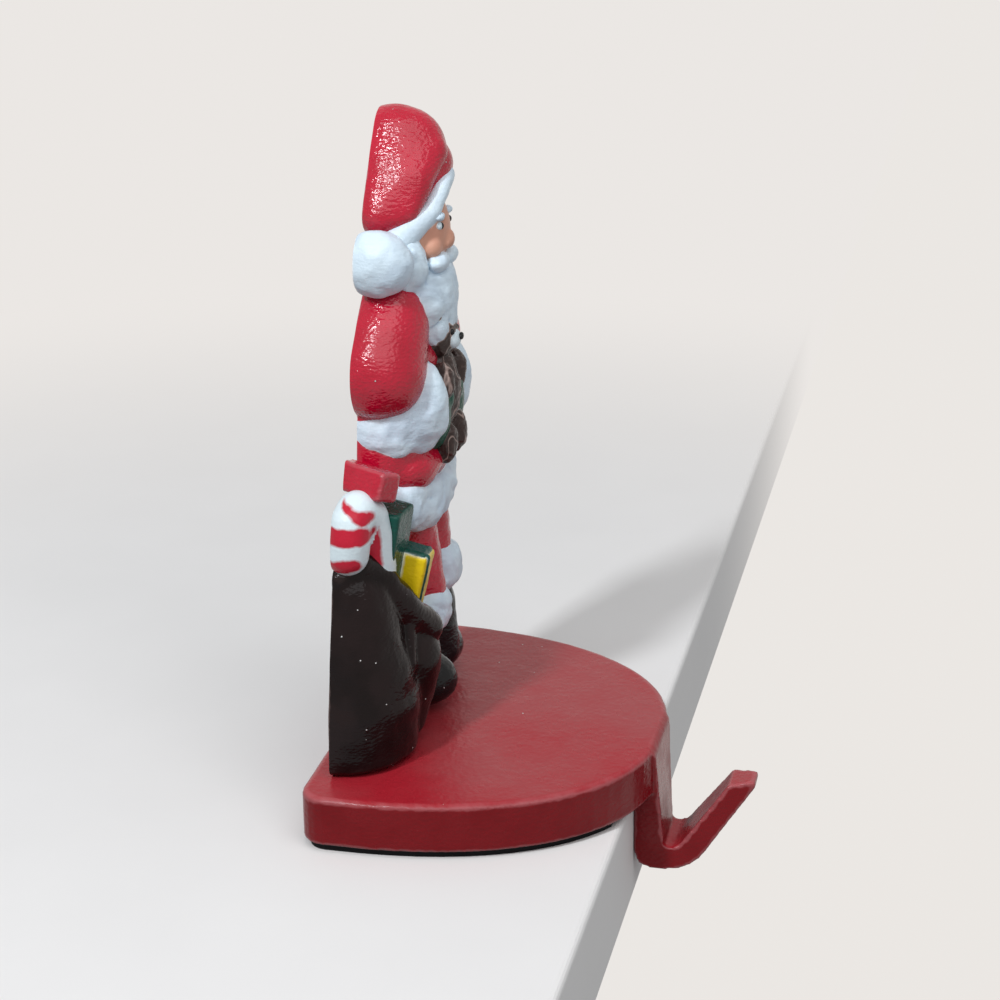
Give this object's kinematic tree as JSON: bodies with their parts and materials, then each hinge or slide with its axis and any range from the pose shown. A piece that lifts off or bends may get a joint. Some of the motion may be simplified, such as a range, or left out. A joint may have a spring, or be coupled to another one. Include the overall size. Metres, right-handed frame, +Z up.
{
  "type": "mantel stocking holder",
  "caption": "Painted cast relief figure with a sack of presents, on a D-shaped foot whose front drops over a shelf edge into a stocking hook.",
  "frame": {"origin": "on the shelf, under the figure's flat back, midway across the foot", "axes": "+Z up, -Y to the front over the shelf edge, X along the shelf with the sack towards -X"},
  "size_m": [0.1, 0.0963, 0.1742],
  "materials": {
    "foot_paint": "dark red gloss paint over cast iron, worn along the top edge",
    "figure_paint": "hand-painted gloss enamel over cast iron, in red, white, brown, green, yellow and black",
    "screw_steel": "plain steel",
    "pad_rubber": "black matt non-slip sheet"
  },
  "bodies": {
    "root": {"base_hook": "foot_paint", "figure": "figure_paint", "screws": "screw_steel", "base_pad": "pad_rubber"}
  },
  "joints": []
}
